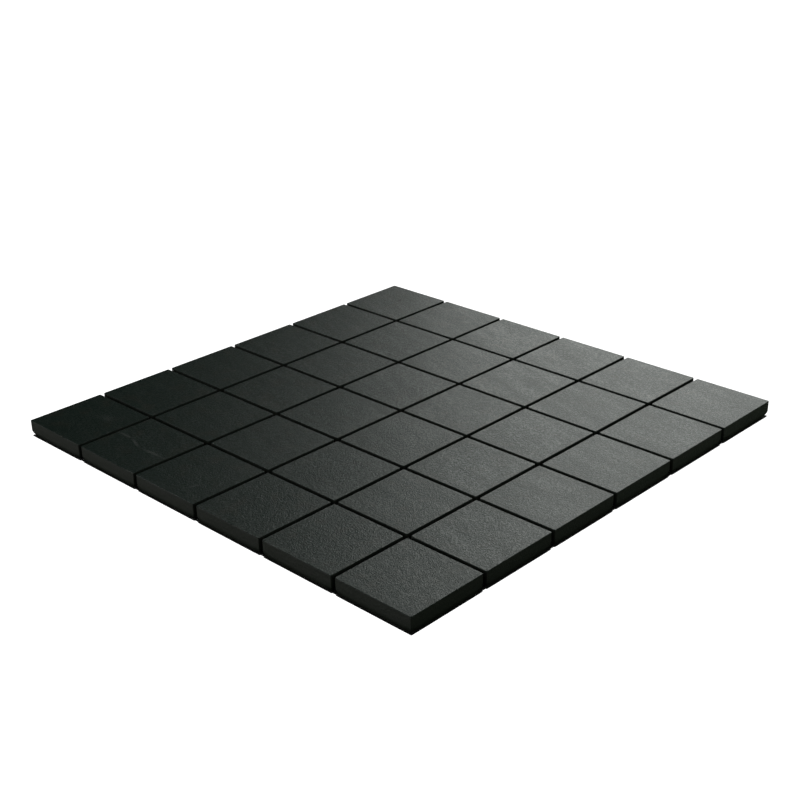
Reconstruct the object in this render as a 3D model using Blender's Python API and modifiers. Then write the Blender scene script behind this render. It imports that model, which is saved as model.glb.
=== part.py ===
"""Porcelain mosaic tile: square chips held in one sheet by a glued net under their backs.

Metres, +Z up. The origin is the middle of the sheet, on the plane that it lies on.
"""

import math

import bmesh
import bpy

# The sheet
CHIPS_PER_SIDE = 6
CHIP_SIDE = 0.048
JOINT_WIDTH = 0.0024
SHEET_THICKNESS = 0.0100

# The edges of a chip: eased arrises and corners, and a rounded foot that is higher than it is deep
EDGE_EASE = 0.00025
FOOT_HEIGHT = 0.0028
FOOT_DEPTH = 0.0010
FOOT_STEPS = 4

# The net: a layer of yarns each way, about 5 mm apart, cut a little short of the sides of the sheet
YARN_GAPS = 59
YARN_WIDTH = 0.0011
YARN_THICKNESS = 0.0003
LAYER_GAP = 0.0003
NET_MARGIN = 0.0009

# Worked out from the sizes above
CHIP_PITCH = CHIP_SIDE + JOINT_WIDTH
SHEET_SIDE = CHIPS_PER_SIDE * CHIP_PITCH - JOINT_WIDTH
LOWER_YARNS_Z = 0.0
UPPER_YARNS_Z = LOWER_YARNS_Z + YARN_THICKNESS + LAYER_GAP
CHIP_BACK_Z = UPPER_YARNS_Z + YARN_THICKNESS + LAYER_GAP
CHIP_THICKNESS = SHEET_THICKNESS - CHIP_BACK_Z
NET_SIDE = SHEET_SIDE - 2 * NET_MARGIN
YARN_PITCH = (NET_SIDE - YARN_WIDTH) / YARN_GAPS

# Finishes: colour, roughness, metallic
PORCELAIN = ((0.060, 0.064, 0.060), 0.50, 0.0)
COATED_YARN = ((0.020, 0.021, 0.020), 0.70, 0.0)


def clear_scene():
    """Remove what the scene already holds."""
    for thing in list(bpy.context.scene.objects):
        bpy.data.objects.remove(thing, do_unlink=True)


def new_collection(name):
    """Add a collection to the scene."""
    collection = bpy.data.collections.new(name)
    bpy.context.scene.collection.children.link(collection)
    return collection


def new_material(name, finish):
    """Make a plain material from a colour, a roughness and a metallic value."""
    colour, roughness, metallic = finish
    material = bpy.data.materials.new(name)
    material.use_nodes = True
    shader = material.node_tree.nodes["Principled BSDF"]
    shader.inputs["Base Color"].default_value = (*colour, 1.0)
    shader.inputs["Roughness"].default_value = roughness
    shader.inputs["Metallic"].default_value = metallic
    material.diffuse_color = (*colour, 1.0)
    return material


def box_mesh(name, size):
    """A box whose middle is over the origin and whose underside is at z = 0."""
    mesh = bpy.data.meshes.new(name)
    form = bmesh.new()
    bmesh.ops.create_cube(form, size=1.0)
    bmesh.ops.scale(form, vec=size, verts=form.verts)
    bmesh.ops.translate(form, vec=(0.0, 0.0, size[2] / 2), verts=form.verts)
    form.to_mesh(mesh)
    form.free()
    return mesh


def is_level_edge(edge, height):
    """True where both ends of an edge are at one height."""
    return all(abs(corner.co.z - height) < EDGE_EASE / 10 for corner in edge.verts)


def runs_up(edge):
    """True where an edge climbs: the upright corners, and the hips below them."""
    return abs(edge.verts[0].co.z - edge.verts[1].co.z) > EDGE_EASE / 10


def is_at_corner(edge):
    """True where both ends of an edge are on a diagonal of the chip."""
    return all(abs(abs(corner.co.x) - abs(corner.co.y)) < EDGE_EASE / 10 for corner in edge.verts)


def draw_foot_out(form):
    """Bring a round foot out towards the sides, so that it stays high but is less deep."""
    half = CHIP_SIDE / 2
    for corner in form.verts:
        if corner.co.z < FOOT_HEIGHT:
            for axis in (0, 1):
                side = math.copysign(half, corner.co[axis])
                corner.co[axis] = side + (corner.co[axis] - side) * FOOT_DEPTH / FOOT_HEIGHT


def chip_mesh():
    """One chip: sides that turn under at the foot, then eased top arrises and corners."""
    mesh = box_mesh("chip", (CHIP_SIDE, CHIP_SIDE, CHIP_THICKNESS))
    form = bmesh.new()
    form.from_mesh(mesh)
    foot_edges = [edge for edge in form.edges if is_level_edge(edge, 0.0)]
    bmesh.ops.bevel(
        form,
        geom=foot_edges,
        offset=FOOT_HEIGHT,
        offset_type="OFFSET",
        segments=FOOT_STEPS,
        profile=0.5,
        affect="EDGES",
    )
    draw_foot_out(form)
    top_edges = [edge for edge in form.edges if is_level_edge(edge, CHIP_THICKNESS)]
    corner_edges = [edge for edge in form.edges if runs_up(edge) and is_at_corner(edge)]
    bmesh.ops.bevel(
        form,
        geom=top_edges + corner_edges,
        offset=EDGE_EASE,
        offset_type="OFFSET",
        segments=1,
        affect="EDGES",
    )
    bmesh.ops.recalc_face_normals(form, faces=form.faces)
    form.to_mesh(mesh)
    form.free()
    return mesh


def lay_chips(collection, material):
    """Lay the chips in rows from the front and columns from the left, with open joints."""
    mesh = chip_mesh()
    mesh.materials.append(material)
    first = -(CHIPS_PER_SIDE - 1) / 2 * CHIP_PITCH
    for row in range(CHIPS_PER_SIDE):
        for column in range(CHIPS_PER_SIDE):
            chip = bpy.data.objects.new(f"chip_row{row + 1}_col{column + 1}", mesh)
            chip.location = (first + column * CHIP_PITCH, first + row * CHIP_PITCH, CHIP_BACK_Z)
            collection.objects.link(chip)


def slot_cutter(name, collection, parent):
    """The row of long gaps between the yarns, as one cutter."""
    gap = YARN_PITCH - YARN_WIDTH
    size = (NET_SIDE - 2 * YARN_WIDTH, gap, 3 * YARN_THICKNESS)
    cutter = bpy.data.objects.new(name, box_mesh(name, size))
    cutter.location = (0.0, -(YARN_GAPS - 1) / 2 * YARN_PITCH, -YARN_THICKNESS)
    cutter.parent = parent
    cutter.hide_render = True
    cutter.display_type = "WIRE"
    row = cutter.modifiers.new("row of gaps", "ARRAY")
    row.use_relative_offset = False
    row.use_constant_offset = True
    row.constant_offset_displace = (0.0, YARN_PITCH, 0.0)
    row.count = YARN_GAPS
    collection.objects.link(cutter)
    return cutter


def lay_yarns(name, height, turn, collection, cutters, material):
    """One layer of the net: side-by-side yarns, closed at both ends by an edge yarn."""
    mesh = box_mesh(name, (NET_SIDE, NET_SIDE, YARN_THICKNESS))
    mesh.materials.append(material)
    layer = bpy.data.objects.new(name, mesh)
    layer.location = (0.0, 0.0, height)
    layer.rotation_euler = (0.0, 0.0, turn)
    collection.objects.link(layer)
    gaps = layer.modifiers.new("gaps", "BOOLEAN")
    gaps.operation = "DIFFERENCE"
    gaps.solver = "EXACT"
    gaps.object = slot_cutter(f"{name}_gaps", cutters, layer)


def build():
    """Build the whole tile."""
    clear_scene()
    tile = new_collection("porcelain_mosaic_tile")
    cutters = new_collection("cutters")
    porcelain = new_material("porcelain", PORCELAIN)
    coated_yarn = new_material("coated_yarn", COATED_YARN)
    lay_chips(tile, porcelain)
    lay_yarns("net_yarns_lengthwise", LOWER_YARNS_Z, 0.0, tile, cutters, coated_yarn)
    lay_yarns("net_yarns_crosswise", UPPER_YARNS_Z, math.pi / 2, tile, cutters, coated_yarn)


build()
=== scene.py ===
# %% [markdown]
# # A sheet of porcelain mosaic
# Small square chips of fired porcelain are laid face up with open joints between them. A net of glass yarn
# is glued across their backs, so that a tiler can lay the whole sheet at once. The solids of the chips and
# of the net come from the frame. This script dresses them: it models each chip again with worn edges and a
# rough pressed face, weaves the net, lays the glue, mixes the finishes, and lights the sheet.

# %% Load the frame
import math
import random

import bmesh
import bpy
from mathutils import Matrix, Quaternion, Vector


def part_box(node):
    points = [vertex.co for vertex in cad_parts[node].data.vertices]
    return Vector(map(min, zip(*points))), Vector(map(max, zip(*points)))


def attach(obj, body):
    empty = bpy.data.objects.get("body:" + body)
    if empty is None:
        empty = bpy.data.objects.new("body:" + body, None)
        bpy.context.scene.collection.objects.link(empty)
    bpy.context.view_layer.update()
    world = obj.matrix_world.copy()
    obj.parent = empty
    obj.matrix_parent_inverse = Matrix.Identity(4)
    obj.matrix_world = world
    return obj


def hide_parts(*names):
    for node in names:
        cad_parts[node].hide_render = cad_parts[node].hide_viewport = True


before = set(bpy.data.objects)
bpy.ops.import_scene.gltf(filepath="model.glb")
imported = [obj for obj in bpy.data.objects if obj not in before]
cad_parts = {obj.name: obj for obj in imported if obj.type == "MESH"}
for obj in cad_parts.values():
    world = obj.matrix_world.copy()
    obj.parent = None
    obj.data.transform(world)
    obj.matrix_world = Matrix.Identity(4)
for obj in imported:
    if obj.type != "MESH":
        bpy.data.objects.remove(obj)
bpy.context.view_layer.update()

print("solids in the frame:", len(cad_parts))

# %% [markdown]
# ## Sizes
# Everything that is made here must lie where the solids lie, so the main sizes are read from them: the side
# of a chip, the pitch from chip to chip, the level of the faces and that of the backs.

# %% Read the sizes of the sheet
MM = 0.001
TINY = 0.01 * MM
LOWER_YARNS = "net_yarns_lengthwise"
UPPER_YARNS = "net_yarns_crosswise"
chip_names = sorted(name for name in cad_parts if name.startswith("chip_row"))

corner_low, corner_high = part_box("chip_row1_col1")
CHIP_SIDE = corner_high.x - corner_low.x
CHIP_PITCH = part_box("chip_row1_col2")[0].x - corner_low.x
JOINT = CHIP_PITCH - CHIP_SIDE
FACE_Z = corner_high.z
BACK_Z = corner_low.z

print(f"{len(chip_names)} chips of {CHIP_SIDE / MM:.1f} mm, pitch {CHIP_PITCH / MM:.1f} mm")
print(f"backs at {BACK_Z / MM:.1f} mm, faces at {FACE_Z / MM:.1f} mm")

# %% [markdown]
# ## The camera
# The photograph looks down at the sheet from in front of one corner. The camera's place was worked out from
# the joints: ten straight lines at a known pitch fix where it stands and how long its lens is. It leans by
# about one degree, which shows in the upright edges.

# %% Set up the camera
LENS_MM = 61.5
SENSOR_MM = 36.0
CAMERA_AT = Vector((0.4966, -0.5088, 0.3408))
CAMERA_LOOKS = Vector((-0.6358, 0.6508, -0.4149))
CAMERA_LEAN = math.radians(-1.22)

camera_data = bpy.data.cameras.new("camera")
camera_data.lens = LENS_MM
camera_data.sensor_width = SENSOR_MM
camera = bpy.data.objects.new("camera", camera_data)
camera.location = CAMERA_AT
level_view = CAMERA_LOOKS.to_track_quat("-Z", "Y")
camera.rotation_euler = (level_view @ Quaternion((0, 0, 1), CAMERA_LEAN)).to_euler()
bpy.context.scene.collection.objects.link(camera)
bpy.context.scene.camera = camera
bpy.context.scene.view_settings.view_transform = "Standard"
print("camera height above the floor:", round(CAMERA_AT.z, 3), "m")

# %% [markdown]
# ## The floor
# The ground is plain and so bright that it is pure white in the photograph, yet it throws no light back at
# the sheet. A sun that shines on the floor alone does that. The sheet still stands in its way, so the floor
# goes dark under the feet of the chips, which is what makes the sheet lie on it. The sun leans a little
# towards the camera, so that no shadow reaches out from under the sheet on the side that is seen.

# %% Lay the floor and light it
FLOOR_SIDE = 12.0
FLOOR_GREY = 0.8
FLOOR_EXPOSURE = 1.3
SUN_WIDTH = math.radians(3)
SUN_LEAN = 0.08

bpy.ops.object.select_all(action="DESELECT")
bpy.ops.mesh.primitive_plane_add(size=FLOOR_SIDE)
floor = bpy.context.object
floor.name = "floor"
floor_paint = bpy.data.materials.new("floor_paint")
floor_paint.use_nodes = True
floor_shader = floor_paint.node_tree.nodes["Principled BSDF"]
floor_shader.inputs["Base Color"].default_value = (FLOOR_GREY, FLOOR_GREY, FLOOR_GREY, 1.0)
floor_shader.inputs["Roughness"].default_value = 0.9
floor_shader.inputs["Specular IOR Level"].default_value = 0.0
floor.data.materials.append(floor_paint)
floor.visible_diffuse = False
floor.visible_glossy = False

only_floor = bpy.data.collections.new("lit_by_the_floor_sun")
only_floor.objects.link(floor)
floor_sun_data = bpy.data.lights.new("floor_sun", "SUN")
floor_sun_data.energy = FLOOR_EXPOSURE * math.pi / FLOOR_GREY
floor_sun_data.angle = SUN_WIDTH
floor_sun = bpy.data.objects.new("floor_sun", floor_sun_data)
floor_sun.light_linking.receiver_collection = only_floor
towards_sun = Vector((SUN_LEAN, -SUN_LEAN, 1.0))
floor_sun.rotation_euler = (-towards_sun).to_track_quat("-Z", "Y").to_euler()
bpy.context.scene.collection.objects.link(floor_sun)

all_but_floor = bpy.data.collections.new("all_but_the_floor")
all_but_floor.objects.link(floor)
all_but_floor.collection_objects[0].light_linking.link_state = "EXCLUDE"
print("floor laid, lit by a sun of its own")

# %% [markdown]
# ## The studio
# In the photograph the faces run from nearly black at the left to grey at the right. That is one large soft
# light behind the sheet, seen in the satin faces as in a dull mirror. A lamp near the floor picks out the
# front edges, and two weaker ones the right edges, which are palest at the far corner. From any other side a
# satin face mirrors whatever stands opposite, so a ring of dim lamps and one overhead give it something to
# mirror there. All are area lamps, because small lamps would give hard glints. They leave the floor out, or
# it would glow in the shade under the sheet, and are themselves hidden from the camera.

# %% Light the sheet
def soft_lamp(name, azimuth, height_angle, distance, size, watts, colour):
    """A rectangular lamp that faces the sheet. Azimuth 0 is in front, and 90 is to the right."""
    turn = math.radians(azimuth)
    rise = math.radians(height_angle)
    flat = math.cos(rise)
    place = Vector((math.sin(turn) * flat, -math.cos(turn) * flat, math.sin(rise))) * distance
    data = bpy.data.lights.new(name, "AREA")
    data.shape = "RECTANGLE"
    data.size, data.size_y = size
    data.energy = watts
    data.color = colour
    lamp = bpy.data.objects.new(name, data)
    lamp.location = place
    lamp.rotation_euler = (-place).to_track_quat("-Z", "Y").to_euler()
    lamp.light_linking.receiver_collection = all_but_floor
    lamp.visible_camera = False
    bpy.context.scene.collection.objects.link(lamp)
    return lamp


DAYLIGHT = (0.965, 1.0, 0.96)
NEAR_WHITE = (1.0, 1.0, 0.98)
GREENISH = (0.85, 1.0, 0.8)
PALE_GREEN = (0.95, 1.0, 0.95)
# Name: azimuth and height angle in degrees, distance in metres, size in metres, watts, colour
LAMPS = {
    "window": (200.3, 28.2, 1.8, (1.35, 1.7), 12.6, DAYLIGHT),
    "front_fill": (-30, 2.4, 1.5, (0.8, 0.5), 7.0, NEAR_WHITE),
    "right_fill": (95, 5, 1.6, (0.8, 0.5), 1.3, GREENISH),
    "corner_fill": (130, 6, 0.5, (0.2, 0.14), 0.10, GREENISH),
}
for azimuth in (-65, -20, 25, 70, 115):
    LAMPS[f"ring_{azimuth}"] = (azimuth, 25, 1.6, (0.9, 0.8), 0.9, PALE_GREEN)
LAMPS["overhead"] = (0, 90, 1.5, (0.9, 0.9), 1.4, PALE_GREEN)

for name, settings in LAMPS.items():
    soft_lamp(name, *settings)
print("lamps:", list(LAMPS))

# %% [markdown]
# ## The room
# A bright room would wash out the dark faces, so the room that lights the sheet is nearly black. What the
# camera sees beyond the floor is white all the same, because the Light Path node tells the camera's rays
# from the rest.

# %% Darken the room
ROOM_GREY = 0.004
room = bpy.data.worlds.new("room")
room.use_nodes = True
room_nodes = room.node_tree.nodes
room_links = room.node_tree.links
dark = room_nodes["Background"]
dark.inputs["Color"].default_value = (ROOM_GREY, ROOM_GREY, ROOM_GREY, 1.0)
white = room_nodes.new("ShaderNodeBackground")
white.inputs["Color"].default_value = (1.0, 1.0, 1.0, 1.0)
either = room_nodes.new("ShaderNodeMixShader")
ray = room_nodes.new("ShaderNodeLightPath")
room_links.new(ray.outputs["Is Camera Ray"], either.inputs[0])
room_links.new(dark.outputs[0], either.inputs[1])
room_links.new(white.outputs[0], either.inputs[2])
room_links.new(either.outputs[0], room_nodes["World Output"].inputs["Surface"])
bpy.context.scene.world = room
print("room grey:", ROOM_GREY)

# %% [markdown]
# ## Shader maths
# A finish is a sum: some noise, times a weight, plus a colour. Wired by hand that is dozens of nodes, and as
# Python it is a line. The class below wraps a node's output, so that + - * between two of them adds the Math
# node that does it. Colours and vectors have methods of their own, because a Math node turns them grey.

# %% Write the class that turns expressions into nodes
class Wire:
    """One output of a node, used in arithmetic."""

    def __init__(self, finish, socket):
        self.finish = finish
        self.socket = socket

    def __add__(self, other):
        return self.finish.math("ADD", self, other)

    def __sub__(self, other):
        return self.finish.math("SUBTRACT", self, other)

    def __rsub__(self, other):
        return self.finish.math("SUBTRACT", other, self)

    def __mul__(self, other):
        return self.finish.math("MULTIPLY", self, other)

    def __abs__(self):
        return self.finish.math("ABSOLUTE", self)

    __radd__ = __add__
    __rmul__ = __mul__


class Finish:
    """A material and the nodes under its shader."""

    def __init__(self, name):
        self.material = bpy.data.materials.new(name)
        self.material.use_nodes = True
        self.tree = self.material.node_tree
        self.shader = self.tree.nodes["Principled BSDF"]

    def plug(self, socket, value):
        """Give a socket its value, or link it."""
        if isinstance(value, Wire):
            self.tree.links.new(value.socket, socket)
        else:
            socket.default_value = value

    def node(self, kind, settings=None, sockets=None, output=0):
        """Add a node: first its settings, then the values or links of its sockets."""
        made = self.tree.nodes.new(kind)
        for setting, value in (settings or {}).items():
            setattr(made, setting, value)
        for socket, value in (sockets or {}).items():
            self.plug(made.inputs[socket], value)
        return Wire(self, made.outputs[output])

    def math(self, operation, *values):
        """A Math node."""
        return self.node("ShaderNodeMath", {"operation": operation}, dict(enumerate(values)))

    def vector(self, operation, *values):
        """A Vector Math node."""
        return self.node("ShaderNodeVectorMath", {"operation": operation}, dict(enumerate(values)))

    def scaled(self, vector, factor):
        """A vector times a number."""
        return self.node("ShaderNodeVectorMath", {"operation": "SCALE"}, {"Vector": vector, "Scale": factor})

    def blend(self, mask, first, second):
        """A colour between two colours."""
        made = self.tree.nodes.new("ShaderNodeMix")
        made.data_type = "RGBA"
        sockets = {socket.identifier: socket for socket in made.inputs}
        self.plug(sockets["Factor_Float"], mask)
        self.plug(sockets["A_Color"], first)
        self.plug(sockets["B_Color"], second)
        result = next(socket for socket in made.outputs if socket.identifier == "Result_Color")
        return Wire(self, result)

    def noise(self, place, size, detail=2.0, roughness=0.5, distortion=0.0):
        """Cloudy noise between 0 and 1, whose lumps are about size metres wide."""
        sockets = {
            "Vector": place,
            "Scale": 1.0 / size,
            "Detail": detail,
            "Roughness": roughness,
            "Distortion": distortion,
        }
        return self.node("ShaderNodeTexNoise", {"noise_dimensions": "3D"}, sockets)

    def step(self, value, low, high):
        """0 below low, 1 above high, and smooth between them."""
        settings = {"interpolation_type": "SMOOTHSTEP", "clamp": True}
        sockets = {"Value": value, "From Min": low, "From Max": high}
        return self.node("ShaderNodeMapRange", settings, sockets)

    def bump(self, height, depth, normal=None):
        """Surface relief: a height between 0 and 1, times a depth in metres."""
        sockets = {"Height": height, "Distance": depth, "Strength": 1.0}
        if normal is not None:
            sockets["Normal"] = normal
        return self.node("ShaderNodeBump", {}, sockets)


print("Wire and Finish are ready")

# %% [markdown]
# ## The porcelain
# The chips are unglazed: the colour goes right through the body, and the face has the grip of fine
# sandpaper. No two have the same clouds, so a chip gets its own offset into the noise, picked by its row and
# column. Three sizes of pattern lie over each other: clouds as wide as half a chip, a mottle of a few
# millimetres, and grains of about a millimetre. The grain is mostly relief, which the low light turns into a
# glitter of pale and dark specks. Streaks of a slightly other gloss cross the chips, and since all were
# pressed the same way, the streaks run nearly the same way on each.

# %% Find each chip's own place in the slab
STREAK_TURN = math.radians(13)

porcelain = Finish("unglazed_anthracite_porcelain")
place = porcelain.node("ShaderNodeTexCoord", output=3)
height = porcelain.node("ShaderNodeSeparateXYZ", {}, {"Vector": place}, output=2)
first_cell = (corner_low.x - JOINT / 2, corner_low.y - JOINT / 2, 0.0)
from_corner = porcelain.vector("SUBTRACT", place, first_cell)
cell = porcelain.vector("FLOOR", porcelain.scaled(from_corner, 1.0 / CHIP_PITCH))
lot = porcelain.node("ShaderNodeTexWhiteNoise", {"noise_dimensions": "3D"}, {"Vector": cell}, output=1)
own_place = porcelain.vector("ADD", place, lot)
draw = porcelain.node("ShaderNodeTexWhiteNoise", {"noise_dimensions": "3D"}, {"Vector": cell})
own_turn = {"Vector": own_place, "Angle": STREAK_TURN + (draw - 0.5) * STREAK_TURN}
turned_place = porcelain.node("ShaderNodeVectorRotate", {"rotation_type": "Z_AXIS"}, own_turn)

# %% [markdown]
# A few marks belong to one chip alone: a pale vein that crosses the second chip of the front row, a wisp on
# the third, faint blooms, duller bands and a dull spot at the back, and a nick on two corner chips. Each
# mark is made of soft ellipses. Their places are shaken by a noise first, so that their outlines come out
# ragged.

# %% Place the marks that single chips carry
SHAKE = 2.4 * MM
SHAKE_SIZE = 7 * MM
shake_sockets = {"Vector": place, "Scale": 1 / SHAKE_SIZE, "Detail": 3.0}
shaking = porcelain.node("ShaderNodeTexNoise", {}, shake_sockets, output=1)
centred = porcelain.vector("SUBTRACT", shaking, (0.5, 0.5, 0.5))
shaken_place = porcelain.vector("ADD", place, porcelain.scaled(centred, SHAKE))


def mark(x, y, length, width, degrees, soft=0.3):
    """1 inside an ellipse on the faces, given in millimetres, and 0 outside it."""
    sockets = {
        "Vector": shaken_place,
        "Location": (x * MM, y * MM, 0.0),
        "Rotation": (0.0, 0.0, math.radians(degrees)),
        "Scale": (length * MM / 2, width * MM / 2, 1.0),
    }
    inside = porcelain.node("ShaderNodeMapping", {"vector_type": "TEXTURE"}, sockets)
    distance = porcelain.node("ShaderNodeVectorMath", {"operation": "LENGTH"}, {0: inside}, output=1)
    return 1.0 - porcelain.step(distance, soft, 1.0)


vein = mark(-93, -125, 16, 2.2, 2) + mark(-81, -127, 17, 2.4, -17) + mark(-63, -129, 25, 2.2, 3)
wisp = mark(-16.5, -138, 13, 2.0, 66) * 0.6
bloom = mark(-119, -119, 16, 9, 0, soft=0.0) * 0.4 + mark(-64, 129.5, 10, 9, 0, soft=0.0) * 0.5
bands = mark(26, 125, 56, 13, -20, soft=0.0) + mark(24, 85, 54, 16, -27, soft=0.0)
dull_spot = mark(-64, 115, 13, 12, 0, soft=0.0)
nicks = mark(-125.5, 130.5, 7, 2.4, -67) + mark(140, 129, 8, 2.0, 28)
pale_marks = porcelain.math("MINIMUM", vein + wisp + bloom, 1.0)
dull_marks = porcelain.math("MINIMUM", bands * 0.6 + dull_spot * 0.6 + nicks, 1.0)
print("marks placed on single chips")

# %% [markdown]
# The colour of a face is a blend of a dark and a pale body colour, steered by the noises. Warm patches and
# the pale marks lie over it. The noises are used again below, for the relief and the gloss.

# %% Mix the colour of the face
BODY = (0.0040, 0.0146, 0.0098, 1.0)
BODY_PALE = (0.018, 0.034, 0.028, 1.0)
BODY_WARM = (0.024, 0.026, 0.018, 1.0)
PALE_MARK = (0.085, 0.095, 0.090, 1.0)
NICK = (0.004, 0.005, 0.004, 1.0)
STREAK_STRETCH = (1.0, 6.0, 1.0)

clouds = porcelain.noise(own_place, 22 * MM, detail=4, roughness=0.55, distortion=0.5)
streak_place = porcelain.vector("MULTIPLY", turned_place, STREAK_STRETCH)
streaks = porcelain.noise(streak_place, 40 * MM, detail=3, roughness=0.5, distortion=0.3)
mottle = porcelain.noise(own_place, 4.5 * MM, detail=3, roughness=0.6)
speckle = porcelain.noise(own_place, 1.6 * MM, detail=3, roughness=0.85)
grain = porcelain.noise(own_place, 0.8 * MM, detail=2, roughness=0.6)
face_tone = porcelain.step(clouds * 0.6 + mottle * 0.4, 0.35, 0.7)
specks = porcelain.step(grain, 0.45, 0.65)
spots = porcelain.step(speckle, 0.4, 0.62)
face_colour = porcelain.blend(face_tone * 0.2 + specks * 0.3 + spots * 0.5, BODY, BODY_PALE)
warm_patches = porcelain.step(porcelain.noise(own_place, 9 * MM, detail=2), 0.52, 0.7)
face_colour = porcelain.blend(warm_patches * 0.5, face_colour, BODY_WARM)
face_colour = porcelain.blend(pale_marks * (0.4 + mottle), face_colour, PALE_MARK)
face_colour = porcelain.blend(nicks * 0.8, face_colour, NICK)
print("face mixed")

# %% [markdown]
# The sides are a little paler and duller than the faces, with fine level layers from the pressing. A pale
# band near the top is a painted highlight, and the foot is painted darker towards the back as painted shade.
# The height above the floor tells side from face.

# %% Mix the colour of the sides
SIDE = (0.0172, 0.0228, 0.0163, 1.0)
# pale colour of the side layers, and also of the painted highlight band
SIDE_PALE_AND_HIGHLIGHT = (0.029, 0.034, 0.026, 1.0)
# painted shade colour for the foot of the sides
SIDE_FOOT_SHADE = (0.0055, 0.0115, 0.0048, 1.0)
LAYERS = (1.0, 1.0, 9.0)
HIGHLIGHT_BAND_DEPTH = 2.6 * MM

stretched_place = porcelain.vector("MULTIPLY", own_place, LAYERS)
layered = porcelain.noise(stretched_place, 12 * MM, detail=4, roughness=0.6)
side_tone = porcelain.step(layered, 0.35, 0.7)
# painted highlight: a pale band a little below the top edge of each side, with a ragged level
highlight_band_level = height + (clouds - 0.5) * (4 * MM) - (FACE_Z - HIGHLIGHT_BAND_DEPTH)
painted_highlight_band = 1.0 - porcelain.step(abs(highlight_band_level), 0.3 * MM, 1.8 * MM)
side_colour = porcelain.blend(side_tone * 0.3 + specks * 0.15 + painted_highlight_band * 0.4, SIDE, SIDE_PALE_AND_HIGHLIGHT)
# painted shade: the lowest few millimetres of the sides darken towards the back of the chip
painted_foot_shade = 1.0 - porcelain.step(height + (mottle - 0.5) * MM, BACK_Z - 0.5 * MM, BACK_Z + 3.5 * MM)
side_colour = porcelain.blend(painted_foot_shade * 0.8, side_colour, SIDE_FOOT_SHADE)
on_side = 1.0 - porcelain.step(height, FACE_Z - 0.5 * MM, FACE_Z - 0.2 * MM)
print("sides mixed")

# %% [markdown]
# Three bumps on top of each other give the rough face. The gloss is a thin coat whose weight changes from
# place to place: that shows as brighter and darker streaks where the face mirrors the window, and hardly at
# all elsewhere, as on the real chips.

# %% Give it relief and gloss
DULLNESS = 0.345
MEAN_SHINE = 0.17
GRAIN_DEPTH = 0.13 * MM
SPECKLE_DEPTH = 0.15 * MM
MOTTLE_DEPTH = 0.06 * MM

relief = porcelain.bump(grain, GRAIN_DEPTH)
relief = porcelain.bump(speckle, SPECKLE_DEPTH, relief)
relief = porcelain.bump(mottle, MOTTLE_DEPTH, relief)
dullness = DULLNESS - (clouds - 0.5) * 0.08 + dull_marks * 0.08 + on_side * 0.2
patches = (streaks - 0.5) * 1.0 + (spots - 0.5) * 0.5 + (specks - 0.5) * 0.2 + (draw - 0.5) * 0.06
shine = MEAN_SHINE + patches + pale_marks * 0.15 - dull_marks * 0.2
face_shine = porcelain.math("MAXIMUM", shine * (1.0 - on_side), 0.0)
porcelain.plug(porcelain.shader.inputs["Base Color"], porcelain.blend(on_side, face_colour, side_colour))
porcelain.plug(porcelain.shader.inputs["Roughness"], dullness)
porcelain.plug(porcelain.shader.inputs["Coat Weight"], face_shine)
porcelain.shader.inputs["Coat Roughness"].default_value = DULLNESS
porcelain.plug(porcelain.shader.inputs["Normal"], relief)
print("porcelain nodes:", len(porcelain.tree.nodes))

# %% [markdown]
# ## The finish of the net and the glue
# The net is glass yarn dipped in a black binder, and black glue holds it to the backs of the chips. From
# above both only show as a dark line under the sheet. From below the yarns show their strands.

# %% Mix the coated yarn
YARN_DARK = (0.006, 0.007, 0.006, 1.0)
YARN_PALE = (0.018, 0.019, 0.017, 1.0)

coated = Finish("coated_glass_yarn")
yarn_place = coated.node("ShaderNodeTexCoord", output=3)
strands = coated.noise(yarn_place, 0.5 * MM, detail=2)
binder = coated.noise(yarn_place, 6 * MM, detail=2)
yarn_colour = coated.blend(strands, YARN_DARK, YARN_PALE)
coated.plug(coated.shader.inputs["Base Color"], yarn_colour)
coated.plug(coated.shader.inputs["Roughness"], 0.45 + binder * 0.3)
coated.plug(coated.shader.inputs["Normal"], coated.bump(strands, 0.08 * MM))
print("yarn mixed")

# %% Mix the glue
GLUE_DARK = (0.005, 0.006, 0.005, 1.0)
GLUE_PALE = (0.014, 0.015, 0.014, 1.0)

glue = Finish("black_glue")
glue_place = glue.node("ShaderNodeTexCoord", output=3)
glue_lumps = glue.noise(glue_place, 3 * MM, detail=3)
glue_dust = glue.noise(glue_place, 0.8 * MM, detail=2)
glue_colour = glue.blend(glue_dust, GLUE_DARK, GLUE_PALE)
glue.plug(glue.shader.inputs["Base Color"], glue_colour)
glue.plug(glue.shader.inputs["Roughness"], 0.35 + glue_lumps * 0.3)
glue.plug(glue.shader.inputs["Normal"], glue.bump(glue_lumps, 0.15 * MM))
print("finishes:", [finish.material.name for finish in (porcelain, coated, glue)])

# %% [markdown]
# ## One chip
# A chip is a pressed plate: a flat face with a worn arris, upright sides, and a foot that turns in towards
# the back, which lets the plate leave its mould. A cube with bevels would have the outline, but its face
# would be one polygon, with nothing to roughen. So the face starts as a fine grid with rounded corners, and
# its border is then extruded ring by ring: over the arris, down the side and in under the foot. The first
# ring is a narrow lip, level with the face. It keeps the bend of the arris out of the shading of the face.

# %% Lay out the rings of a chip
ARRIS = 0.12 * MM
LIP = 0.12 * MM
CORNER = 0.6 * MM
CORNER_STEPS = 4
BACK_RIM = 2 * MM
FOOT_HEIGHT = 2.8 * MM
FOOT_DEPTH = 1.0 * MM
FACE_CELLS = 56
ARRIS_STEPS = 3
SIDE_STEPS = 6
FOOT_STEPS = 7
QUARTER_TURN = math.radians(90)


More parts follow.
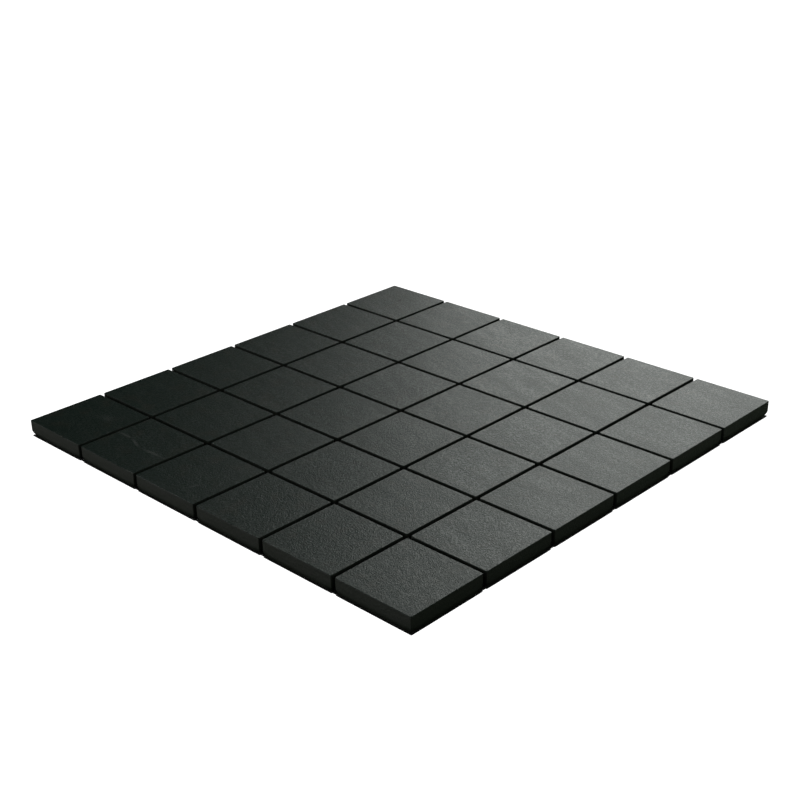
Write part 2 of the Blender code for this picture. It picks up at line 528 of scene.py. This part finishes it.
def chip_rings():
    """How far in from the side, and how high, each ring lies, from the lip down to the back."""
    rings = [(ARRIS, FACE_Z)]
    for step in range(1, ARRIS_STEPS + 1):
        turn = QUARTER_TURN * step / ARRIS_STEPS
        rings.append((ARRIS * (1 - math.sin(turn)), FACE_Z - ARRIS * (1 - math.cos(turn))))
    side_top = FACE_Z - ARRIS
    side_bottom = BACK_Z + FOOT_HEIGHT
    for step in range(1, SIDE_STEPS + 1):
        rings.append((0.0, side_top + (side_bottom - side_top) * step / SIDE_STEPS))
    for step in range(1, FOOT_STEPS + 1):
        turn = QUARTER_TURN * step / FOOT_STEPS
        rings.append((FOOT_DEPTH * (1 - math.cos(turn)), side_bottom - FOOT_HEIGHT * math.sin(turn)))
    return rings


print("rings down one chip:", len(chip_rings()))

# %% Extrude a chip from its face
def select_only(thing):
    """Deselect everything, then select one object and make it active."""
    bpy.ops.object.select_all(action="DESELECT")
    thing.select_set(True)
    bpy.context.view_layer.objects.active = thing


def select_edges(thing, passes):
    """In edit mode, select the edges whose two ends pass a test."""
    form = bmesh.from_edit_mesh(thing.data)
    for edge in form.edges:
        edge.select_set(False)
    for edge in form.edges:
        if passes(edge.verts[0].co, edge.verts[1].co):
            edge.select_set(True)
    bmesh.update_edit_mesh(thing.data)


def is_corner_of_face(corner):
    """True at the four corners of the grid."""
    return min(abs(corner.co.x), abs(corner.co.y)) > half - TINY


bpy.ops.object.select_all(action="DESELECT")
half = CHIP_SIDE / 2 - ARRIS - LIP
bpy.ops.mesh.primitive_grid_add(
    x_subdivisions=FACE_CELLS, y_subdivisions=FACE_CELLS, size=2 * half, location=(0.0, 0.0, FACE_Z)
)
first_chip = bpy.context.object
bpy.ops.object.transform_apply(location=True, rotation=True, scale=True)
bpy.ops.object.mode_set(mode="EDIT")
bpy.ops.mesh.select_mode(type="VERT")
bpy.ops.mesh.select_all(action="DESELECT")
grid_form = bmesh.from_edit_mesh(first_chip.data)
for corner in grid_form.verts:
    corner.select_set(is_corner_of_face(corner))
bmesh.update_edit_mesh(first_chip.data)
bpy.ops.mesh.bevel(offset=CORNER, segments=CORNER_STEPS, affect="VERTICES")
bpy.ops.mesh.select_mode(type="EDGE")
bpy.ops.mesh.select_all(action="SELECT")
bpy.ops.mesh.region_to_loop()
level = FACE_Z
for inset, ring_z in chip_rings():
    bpy.ops.mesh.extrude_region_move(TRANSFORM_OT_translate={"value": (0.0, 0.0, ring_z - level)})
    growth = (CHIP_SIDE / 2 - inset) / half
    bpy.ops.transform.resize(value=(growth, growth, 1.0), center_override=(0.0, 0.0, ring_z))
    half = CHIP_SIDE / 2 - inset
    level = ring_z
bpy.ops.mesh.edge_face_add()
bpy.ops.mesh.inset(thickness=BACK_RIM)
print("rings extruded:", len(chip_rings()))

# %% [markdown]
# The four corners of the foot are worn rounder than the rest, which leaves a small notch where two chips
# meet. Proportional editing does that: the lowest corners are drawn in, and what is near them follows.

# %% Round the corners of the foot
CORNER_WEAR = 0.35 * MM
CORNER_REACH = 3.5 * MM


def is_foot_corner(one, other):
    """True on the outermost edges of the back, at its four corners."""
    lowest = max(one.z, other.z) < BACK_Z + TINY
    nearest = min(abs(one.x), abs(one.y), abs(other.x), abs(other.y))
    return lowest and nearest > CHIP_SIDE / 2 - FOOT_DEPTH - CORNER


select_edges(first_chip, is_foot_corner)
drawn_in = 1.0 - CORNER_WEAR / (CHIP_SIDE / 2 - FOOT_DEPTH)
bpy.ops.transform.resize(
    value=(drawn_in, drawn_in, 1.0),
    center_override=(0.0, 0.0, BACK_Z),
    use_proportional_edit=True,
    proportional_edit_falloff="SMOOTH",
    proportional_size=CORNER_REACH,
)
bpy.ops.mesh.select_all(action="SELECT")
bpy.ops.mesh.normals_make_consistent(inside=False)
bpy.ops.object.mode_set(mode="OBJECT")
print("faces of one chip:", len(first_chip.data.polygons))

# %% [markdown]
# ## Wear
# No two chips are alike. Each copy is lowered here and there by a few hundredths of a millimetre: in broad
# hollows, in a close grain, and more along the arris, where chips knock together in the box. Displace
# modifiers do that. Their middle level is at the top of the noise, so they only ever take material away.

# %% Set up the noises that wear a chip down
def wear_noise(name, size, depth):
    """A cloud texture for a Displace modifier."""
    noise = bpy.data.textures.new(name, "CLOUDS")
    noise.noise_scale = size
    noise.noise_depth = depth
    return noise


HOLLOWS = wear_noise("hollows", 9 * MM, 1)
GRAIN = wear_noise("grain", 2.5 * MM, 1)
KNOCKS = wear_noise("knocks", 2.2 * MM, 1)
KNOCKS.contrast = 2.0
WEAR = [(HOLLOWS, 0.05 * MM, ""), (GRAIN, 0.03 * MM, ""), (KNOCKS, 0.04 * MM, "arris")]


def wear_down(thing, noise, depth, group):
    """Lower a surface by a noise, everywhere or on one vertex group, and apply that."""
    wear = thing.modifiers.new(noise.name, "DISPLACE")
    wear.texture = noise
    wear.texture_coords = "LOCAL"
    wear.mid_level = 1.0
    wear.strength = depth
    wear.vertex_group = group
    select_only(thing)
    bpy.ops.object.modifier_apply(modifier=wear.name)


arris_group = first_chip.vertex_groups.new(name="arris")
near_arris = []
for corner in first_chip.data.vertices:
    if FACE_Z - 2 * ARRIS < corner.co.z < FACE_Z:
        near_arris.append(corner.index)
arris_group.add(near_arris, 1.0, "REPLACE")
print("corners on the arris:", len(near_arris))

# %% [markdown]
# A copy is moved in its mesh and not as an object, so that the noises fall on another place of each chip.

# %% Copy the chip to its places and wear each copy
SMOOTH_ANGLE = math.radians(35)

for name in chip_names:
    low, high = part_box(name)
    middle = (low + high) / 2
    chip = first_chip.copy()
    chip.data = first_chip.data.copy()
    chip.name = f"{name}_worn"
    chip.data.transform(Matrix.Translation((middle.x, middle.y, 0.0)))
    bpy.context.scene.collection.objects.link(chip)
    for noise, depth, group in WEAR:
        wear_down(chip, noise, depth, group)
    bpy.ops.object.shade_smooth_by_angle(angle=SMOOTH_ANGLE)
    chip.data.materials.append(porcelain.material)
    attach(chip, "root")
    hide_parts(name)
bpy.data.objects.remove(first_chip, do_unlink=True)
print("chips laid:", len(chip_names))

# %% [markdown]
# ## The net
# The net is a plain weave: a yarn goes over one crossing and under the next, and its neighbour does the
# opposite. One yarn is enough to start. A flat six-sided ring is extruded along it in short steps that rise
# and fall. A second yarn with the wave turned over lies beside it, and the pair is repeated to the far side.
# The same layer turned by a quarter is the other half of the net, and falls between the first one's waves.
# The corners of the net are clipped, as scissors would do it, so that none sticks out under a corner chip.

# %% Extrude one yarn
net_low, net_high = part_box(LOWER_YARNS)
NET_HALF = (net_high.x - net_low.x) / 2
YARN_COUNT = 60
YARN_WIDTH = 1.1 * MM
YARN_THICKNESS = 0.40 * MM
YARN_PITCH = (2 * NET_HALF - YARN_WIDTH) / (YARN_COUNT - 1)
NET_MIDDLE_Z = 0.45 * MM
WAVE = 0.21 * MM
WAVE_STEPS = 3
YARN_SIDES = 6


def add_yarn(name, first_y, wave):
    """One wavy yarn along X, from one side of the net to the other."""
    start = -NET_HALF
    bpy.ops.object.select_all(action="DESELECT")
    bpy.ops.mesh.primitive_circle_add(vertices=YARN_SIDES, radius=0.5, location=(0.0, 0.0, 0.0))
    yarn = bpy.context.object
    yarn.name = name
    bpy.ops.object.mode_set(mode="EDIT")
    bpy.ops.mesh.select_mode(type="EDGE")
    bpy.ops.mesh.select_all(action="SELECT")
    bpy.ops.transform.rotate(value=QUARTER_TURN, orient_axis="Y", center_override=(0.0, 0.0, 0.0))
    bpy.ops.transform.resize(value=(1.0, YARN_WIDTH, YARN_THICKNESS), center_override=(0.0, 0.0, 0.0))
    first_crossing = start + YARN_WIDTH / 2
    steps = (YARN_COUNT - 1) * WAVE_STEPS
    stops = [first_crossing + YARN_PITCH * step / WAVE_STEPS for step in range(steps + 1)]
    stops = [start] + stops + [-start]
    heights = [wave * math.cos(math.pi * (stop - first_crossing) / YARN_PITCH) for stop in stops]
    bpy.ops.transform.translate(value=(stops[0], first_y, NET_MIDDLE_Z + heights[0]))
    for step in range(1, len(stops)):
        move = (stops[step] - stops[step - 1], 0.0, heights[step] - heights[step - 1])
        bpy.ops.mesh.extrude_region_move(TRANSFORM_OT_translate={"value": move})
    bpy.ops.mesh.edge_face_add()
    select_edges(yarn, lambda one, other: max(one.x, other.x) < start + TINY)
    bpy.ops.mesh.edge_face_add()
    bpy.ops.mesh.select_all(action="SELECT")
    bpy.ops.mesh.normals_make_consistent(inside=False)
    bpy.ops.object.mode_set(mode="OBJECT")
    return yarn


first_yarn_y = -NET_HALF + YARN_WIDTH / 2
yarn_pair = [
    add_yarn("even_yarn", first_yarn_y, WAVE),
    add_yarn("odd_yarn", first_yarn_y + YARN_PITCH, -WAVE),
]
print(f"yarn pitch {YARN_PITCH / MM:.3f} mm, faces of one yarn:", len(yarn_pair[0].data.polygons))

# %% Repeat the pair into a layer, clip its corners, and turn a copy for the other layer
CLIP = 2.4 * MM

for yarn in yarn_pair:
    repeat = yarn.modifiers.new("repeat", "ARRAY")
    repeat.use_relative_offset = False
    repeat.use_constant_offset = True
    repeat.constant_offset_displace = (0.0, 2 * YARN_PITCH, 0.0)
    repeat.count = YARN_COUNT // 2
    select_only(yarn)
    bpy.ops.object.modifier_apply(modifier=repeat.name)
yarn_pair[0].select_set(True)
yarn_pair[1].select_set(True)
bpy.context.view_layer.objects.active = yarn_pair[0]
bpy.ops.object.join()
lengthwise = bpy.context.object
lengthwise.name = "net_lengthwise"
bpy.ops.object.mode_set(mode="EDIT")
for side_x in (-1, 1):
    for side_y in (-1, 1):
        bpy.ops.mesh.select_all(action="SELECT")
        bpy.ops.mesh.bisect(
            plane_co=(side_x * (NET_HALF - CLIP), side_y * NET_HALF, NET_MIDDLE_Z),
            plane_no=(side_x, side_y, 0.0),
            use_fill=True,
            clear_outer=True,
        )
bpy.ops.object.mode_set(mode="OBJECT")
crosswise = lengthwise.copy()
crosswise.data = lengthwise.data.copy()
crosswise.name = "net_crosswise"
crosswise.data.transform(Matrix.Rotation(QUARTER_TURN, 4, "Z"))
bpy.context.scene.collection.objects.link(crosswise)
print("faces of one layer:", len(lengthwise.data.polygons))

# %% [markdown]
# Woven yarns never lie quite straight. Each layer is pushed sideways by a slow noise, a little more than a
# tenth of a millimetre, so that the meshes of the net are not all the same.

# %% Let the yarns wander, and dress the net
WANDER = wear_noise("wander", 25 * MM, 2)
WANDER_STRENGTH = 1.2 * MM
YARN_SMOOTH_ANGLE = math.radians(70)

for layer, sideways, node in ((lengthwise, "Y", LOWER_YARNS), (crosswise, "X", UPPER_YARNS)):
    wander = layer.modifiers.new("wander", "DISPLACE")
    wander.texture = WANDER
    wander.texture_coords = "LOCAL"
    wander.direction = sideways
    wander.strength = WANDER_STRENGTH
    select_only(layer)
    bpy.ops.object.modifier_apply(modifier=wander.name)
    bpy.ops.object.shade_smooth_by_angle(angle=YARN_SMOOTH_ANGLE)
    layer.data.materials.append(coated.material)
    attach(layer, "root")
    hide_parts(node)
print("net woven")

# %% [markdown]
# ## The glue
# Spots of glue hold the net to the backs of the chips. They were pressed flat between the two, so each is a
# low, uneven cushion that the yarns sink into. One spot is modelled, from a flattened ball, and is then
# copied with its own size and turn, several to a chip. A smaller one closes each end of a joint, behind the
# edge yarn. It is glue that also serves as painted shade, so that no lit floor shows there through the net.

# %% Model a spot of glue
GLUE_LOW = 0.45 * MM
GLUE_RADIUS = 5.6 * MM
SPOTS_PER_SIDE = 4
SPOT_SPREAD = 34 * MM

bpy.ops.object.select_all(action="DESELECT")
glue_middle = (GLUE_LOW + BACK_Z) / 2
bpy.ops.mesh.primitive_uv_sphere_add(segments=12, ring_count=4, radius=GLUE_RADIUS)
spot = bpy.context.object
bpy.ops.object.mode_set(mode="EDIT")
bpy.ops.mesh.select_all(action="SELECT")
flatness = (BACK_Z - GLUE_LOW) / (2 * GLUE_RADIUS)
bpy.ops.transform.resize(value=(1.0, 1.0, flatness), center_override=(0.0, 0.0, 0.0))
bpy.ops.transform.translate(value=(0.0, 0.0, glue_middle))
bpy.ops.object.mode_set(mode="OBJECT")
print("faces of one spot:", len(spot.data.polygons))

# %% Copy the spots under the chips
SPOT_SHARES = (0.75, 0.98)
# the end spots are glue that also serves as painted shade at the ends of the joints
END_SHADE_SPOT = 3.0 * MM
END_SHADE_SPOT_SHARES = (0.95 * END_SHADE_SPOT / GLUE_RADIUS, END_SHADE_SPOT / GLUE_RADIUS)
END_SHADE_SPOT_SETBACK = 4.8 * MM
GLUE_SMOOTH_ANGLE = math.radians(80)
CHIPS_PER_SIDE = round(math.sqrt(len(chip_names)))
SEED = 5
chance = random.Random(SEED)
glue_and_shade_copies = []


def copy_spot(x, y, shares):
    """Copy the spot to a place, with a random turn, and a random size between two shares of the first."""
    stretch = Matrix.Diagonal((chance.uniform(*shares), chance.uniform(*shares), 1.0, 1.0))
    turn = Matrix.Rotation(chance.uniform(0.0, math.tau), 4, "Z")
    copy = spot.copy()
    copy.data = spot.data.copy()
    copy.data.transform(Matrix.Translation((x, y, 0.0)) @ turn @ stretch)
    bpy.context.scene.collection.objects.link(copy)
    glue_and_shade_copies.append(copy)


for name in chip_names:
    low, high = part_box(name)
    middle = (low + high) / 2
    for across in range(SPOTS_PER_SIDE):
        for along in range(SPOTS_PER_SIDE):
            steps = [index / (SPOTS_PER_SIDE - 1) - 0.5 for index in (across, along)]
            copy_spot(middle.x + SPOT_SPREAD * steps[0], middle.y + SPOT_SPREAD * steps[1], SPOT_SHARES)
# painted shade: a small black spot closes each end of a joint, where the floor would lie in shade
for joint in range(1, CHIPS_PER_SIDE):
    along = (joint - CHIPS_PER_SIDE / 2) * CHIP_PITCH
    for end in (corner_low.x + END_SHADE_SPOT_SETBACK, -corner_low.x - END_SHADE_SPOT_SETBACK):
        copy_spot(along, end, END_SHADE_SPOT_SHARES)
        copy_spot(end, along, END_SHADE_SPOT_SHARES)
bpy.data.objects.remove(spot, do_unlink=True)
bpy.ops.object.select_all(action="DESELECT")
for copy in glue_and_shade_copies:
    copy.select_set(True)
bpy.context.view_layer.objects.active = glue_and_shade_copies[0]
bpy.ops.object.join()
glue_and_shade_spots = bpy.context.object
glue_and_shade_spots.name = "glue_and_shade_spots"
glue_and_shade_spots.data.materials.append(glue.material)
bpy.ops.object.shade_smooth_by_angle(angle=GLUE_SMOOTH_ANGLE)
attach(glue_and_shade_spots, "root")
print("spots of glue:", len(glue_and_shade_copies))
